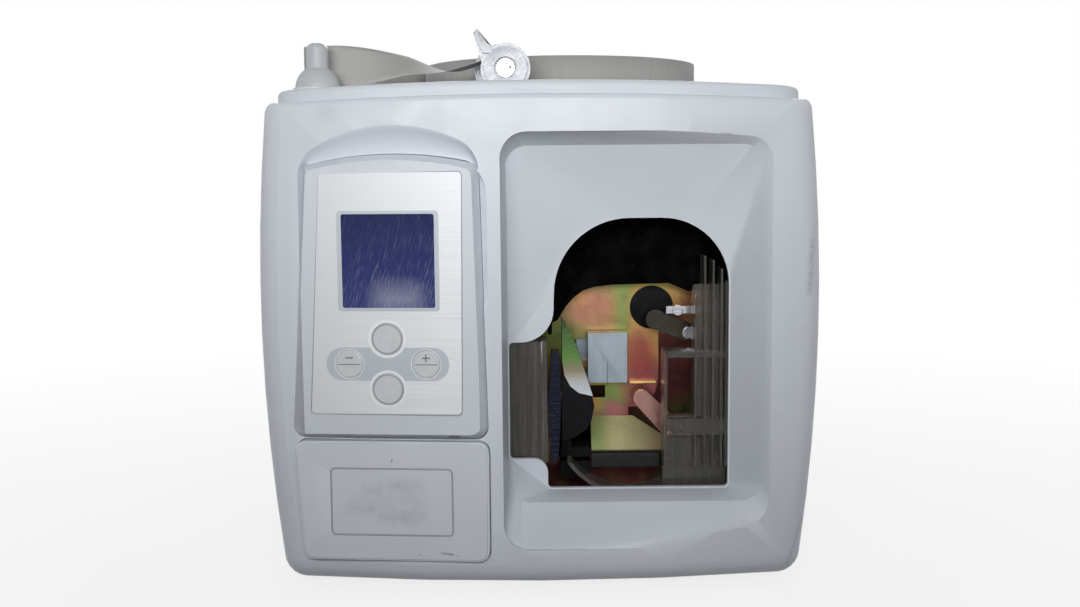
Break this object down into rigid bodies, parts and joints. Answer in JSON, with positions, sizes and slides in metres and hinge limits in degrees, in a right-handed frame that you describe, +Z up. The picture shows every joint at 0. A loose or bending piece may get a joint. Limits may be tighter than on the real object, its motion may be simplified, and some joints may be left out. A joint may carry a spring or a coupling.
{
  "type": "banknote strapping machine",
  "caption": "Desktop machine that straps banknotes with paper tape: white barrel-shaped covers, tape reel and guides on the lid, key pod with display, deep funnel mouth showing the mechanism.",
  "frame": {"origin": "middle of the bounding box at the bottom of the rubber feet", "axes": "+X to the right seen from the front, +Y to the back, +Z up; the note mouth faces -Y"},
  "size_m": [0.2618, 0.2474, 0.2607],
  "materials": {
    "white_plastic": "smooth",
    "lid_plastic": "smooth",
    "guide_plastic": "smooth",
    "overlay": "brushed",
    "lcd_glass": "scratched",
    "key_white": "printed",
    "board_green": "lacquered",
    "black_plastic": "moulded",
    "clear_plastic": "clear",
    "toothed_bar": "speckled",
    "paper": "paper",
    "steel": "ground",
    "bright_steel": "polished",
    "zinc_yellow": "yellow passivated",
    "cast_grey": "textured",
    "rubber": "matt",
    "brass": "plain",
    "nylon": "moulded",
    "motor_can": "plain"
  },
  "bodies": {
    "housing": {"front_cover": "white_plastic", "rear_cover": "white_plastic", "top_lid": "lid_plastic", "base_plate": "steel", "feet": "rubber", "cover_screws": "steel", "control_pod": "white_plastic", "lower_plate": "white_plastic", "overlay_panel": "overlay", "lcd_window": "lcd_glass", "lcd_module": "board_green", "key_board": "board_green", "spindle": "steel", "tape_run": "paper", "guide_post": "guide_plastic", "guide_pin": "steel", "inlet_cap": "cast_grey", "inlet_screw": "bright_steel", "inlet_bracket": "cast_grey", "feed_motor": "motor_can", "feed_frame": "steel", "arch_hood": "black_plastic", "guide_left": "clear_plastic", "guide_right": "clear_plastic", "guide_ring": "clear_plastic", "stop_bar": "toothed_bar", "tongue": "black_plastic", "tongue_face": "bright_steel", "frame_plate": "zinc_yellow", "bearing_plate": "zinc_yellow", "spacers": "steel", "deck_plate": "zinc_yellow", "slide_rod": "steel", "upper_bush": "black_plastic", "bracket": "bright_steel", "contact_leaf": "brass", "drive_motor": "motor_can", "power_board": "board_green", "mains_inlet": "black_plastic", "switch_frame": "black_plastic"},
    "reel": {"reel_hub": "nylon", "tape_roll": "paper"},
    "left_roller": {"guide_roller": "guide_plastic"},
    "inlet_wheel": {"inlet_roller": "rubber"},
    "feed": {"feed_roller": "rubber"},
    "pinch": {"pinch_roller": "rubber"},
    "cam": {"cam_shaft": "steel", "cam_gear": "nylon"},
    "pinion": {"motor_pinion": "brass"},
    "upper_jaw": {"upper_arm": "steel", "upper_screw": "bright_steel"},
    "lower_jaw": {"lower_arm": "steel", "lower_roller": "rubber"},
    "head": {"press_head": "steel"},
    "cutter": {"cutter_blade": "bright_steel"},
    "switch_rocker": {"rocker": "black_plastic"},
    "clr": {"key_clr": "key_white"},
    "set": {"key_set": "key_white"},
    "minus": {"key_minus": "key_white"},
    "plus": {"key_plus": "key_white"}
  },
  "joints": [
    {"name": "clr_key", "type": "slide", "parent": "housing", "child": "clr", "axis": [0.0872, 0.9962, 0], "range_m": [0, 0.0006], "stiffness_N_per_m": 800, "springref_m": -0.0004},
    {"name": "set_key", "type": "slide", "parent": "housing", "child": "set", "axis": [0.0872, 0.9962, 0], "range_m": [0, 0.0006], "stiffness_N_per_m": 800, "springref_m": -0.0004},
    {"name": "minus_key", "type": "slide", "parent": "housing", "child": "minus", "axis": [0.0872, 0.9962, 0], "range_m": [0, 0.0006], "stiffness_N_per_m": 800, "springref_m": -0.0004},
    {"name": "plus_key", "type": "slide", "parent": "housing", "child": "plus", "axis": [0.0872, 0.9962, 0], "range_m": [0, 0.0006], "stiffness_N_per_m": 800, "springref_m": -0.0004},
    {"name": "reel_spin", "type": "hinge", "parent": "housing", "child": "reel", "pos_m": [0.012, 0.008, 0.24], "axis": [0, 0, 1], "continuous": true},
    {"name": "left_roller_spin", "type": "hinge", "parent": "housing", "child": "left_roller", "pos_m": [-0.1033, -0.0755, 0.244], "axis": [0, 0, 1], "continuous": true},
    {"name": "inlet_roller_spin", "type": "hinge", "parent": "housing", "child": "inlet_wheel", "pos_m": [-0.0151, -0.0785, 0.2426], "axis": [0, 1, 0], "continuous": true},
    {"name": "feed_spin", "type": "hinge", "parent": "housing", "child": "feed", "pos_m": [-0.0007, -0.0785, 0.208], "axis": [0, 1, 0], "continuous": true},
    {"name": "pinch_spin", "type": "hinge", "parent": "housing", "child": "pinch", "pos_m": [-0.0142, -0.0785, 0.208], "axis": [0, 1, 0], "continuous": true},
    {"name": "cam_spin", "type": "hinge", "parent": "housing", "child": "cam", "pos_m": [-0.008, 0, 0.104], "axis": [0, 1, 0], "continuous": true},
    {"name": "pinion_spin", "type": "hinge", "parent": "housing", "child": "pinion", "pos_m": [-0.008, 0.02, 0.07285], "axis": [0, 1, 0], "continuous": true},
    {"name": "upper_arm_swing", "type": "hinge", "parent": "housing", "child": "upper_jaw", "pos_m": [0.0579, -0.05, 0.1205], "axis": [0, 1, 0], "range_deg": [0, 18]},
    {"name": "lower_arm_swing", "type": "hinge", "parent": "housing", "child": "lower_jaw", "pos_m": [0.051, -0.05, 0.0805], "axis": [0, 1, 0], "range_deg": [-21.6, 0]},
    {"name": "head_press", "type": "slide", "parent": "housing", "child": "head", "axis": [-1, 0, 0], "range_m": [0, 0.005]},
    {"name": "cutter_stroke", "type": "slide", "parent": "housing", "child": "cutter", "axis": [0, -1, 0], "range_m": [0, 0.005]},
    {"name": "power_rocker", "type": "hinge", "parent": "housing", "child": "switch_rocker", "pos_m": [-0.0445, 0.1203, 0.039], "axis": [0, 0, 1], "range_deg": [0, 12]}
  ],
  "couplings": [
    {"joint": "pinch_spin", "follows": "feed_spin", "ratio": -1.2727},
    {"joint": "pinion_spin", "follows": "cam_spin", "ratio": -3.4286},
    {"joint": "lower_arm_swing", "follows": "upper_arm_swing", "ratio": -1.2}
  ]
}
